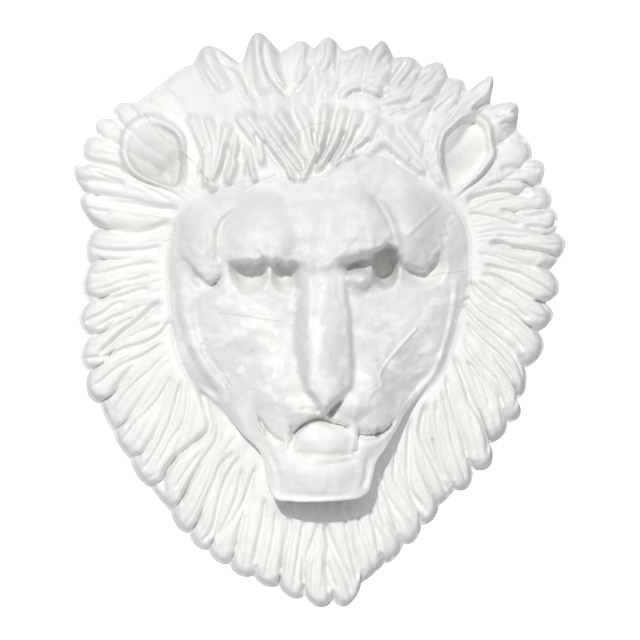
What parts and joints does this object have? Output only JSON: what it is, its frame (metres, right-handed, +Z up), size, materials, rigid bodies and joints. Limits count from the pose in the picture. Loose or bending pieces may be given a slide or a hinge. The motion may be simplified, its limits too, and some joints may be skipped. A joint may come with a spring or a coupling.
{
  "type": "lion head wall sculpture",
  "caption": "Lion's head in high relief with a full ray-like mane of carved locks, cast in one piece, white painted, flat at the back to hang on a wall.",
  "frame": {"origin": "centre of the flat back, in the plane of the wall, half way up and half way across the head", "axes": "+Y out of the back into the wall, so the lion looks along -Y; +Z up to the crown; +X to the right seen from the front"},
  "size_m": [0.8559, 0.2326, 1],
  "materials": {
    "white_paint": "thick brushed white paint with a soft sheen over cast resin"
  },
  "bodies": {
    "root": {"lion_head": "white_paint"}
  },
  "joints": []
}
